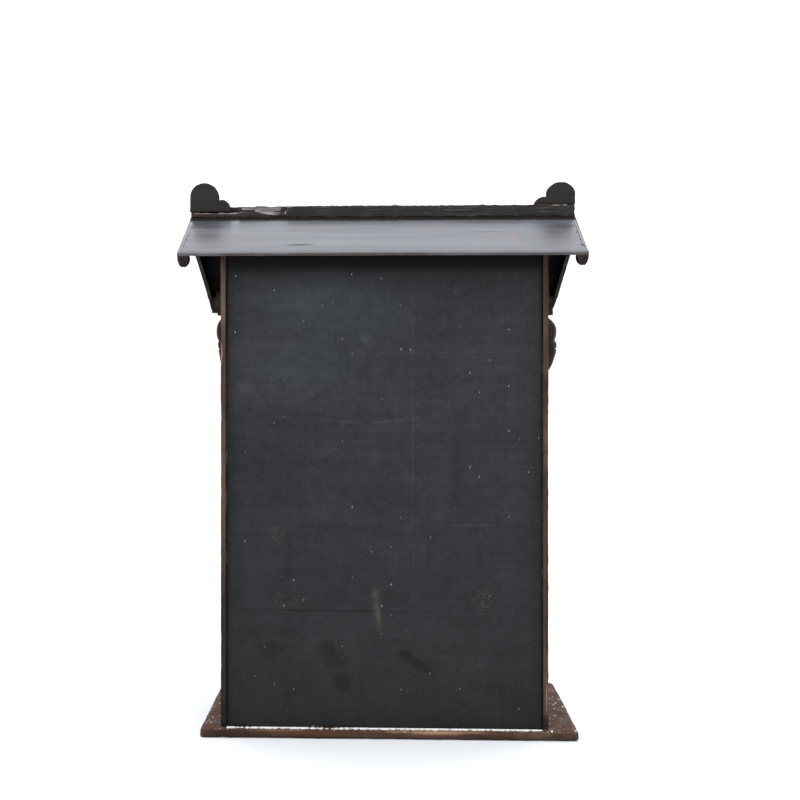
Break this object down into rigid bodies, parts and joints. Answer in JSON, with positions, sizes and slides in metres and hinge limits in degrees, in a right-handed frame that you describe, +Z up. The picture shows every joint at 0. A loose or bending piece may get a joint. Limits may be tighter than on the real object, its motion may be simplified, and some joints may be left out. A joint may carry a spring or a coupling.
{
  "type": "altar shrine",
  "caption": "Open-fronted wooden house shrine in worn black lacquer: gabled roof with lobed ridge ends, side boards, back panel, carved apron and hanging buds, on a base plank.",
  "frame": {"origin": "on the surface the shrine stands on, under the middle of the roof", "axes": "+Z up; -Y out of the open front; +X to the right of somebody who faces the front"},
  "size_m": [0.607, 0.325, 0.8474],
  "materials": {
    "gloss_lacquer": "old black lacquer, still glossy, scuffed, brown at the worn edges",
    "panel_lacquer": "dull grey-black lacquer, brushed on thinly, speckled with pale wear",
    "dark_wood": "black-stained wood, satin, red-brown at the arrises",
    "worn_wood": "bare brown wood, matt, grey with age and dust"
  },
  "bodies": {
    "root": {"base_plank": "worn_wood", "side_board_left": "worn_wood", "side_board_right": "worn_wood", "back_panel": "panel_lacquer", "roof_board_back": "gloss_lacquer", "roof_board_front": "gloss_lacquer", "barge_board_left_back": "dark_wood", "barge_board_left_front": "dark_wood", "barge_board_right_back": "dark_wood", "barge_board_right_front": "dark_wood", "ridge_beam": "dark_wood", "ridge_finial_left": "gloss_lacquer", "ridge_finial_right": "gloss_lacquer", "front_post_left": "dark_wood", "front_post_right": "dark_wood", "front_header": "gloss_lacquer", "front_apron": "gloss_lacquer", "front_sill": "dark_wood", "breast_panel": "gloss_lacquer", "breast_rail": "dark_wood", "eave_rail": "dark_wood", "eave_valance": "gloss_lacquer", "eave_bracket_left": "gloss_lacquer", "eave_bracket_right": "gloss_lacquer", "pendant_left": "gloss_lacquer", "pendant_right": "gloss_lacquer"}
  },
  "joints": []
}
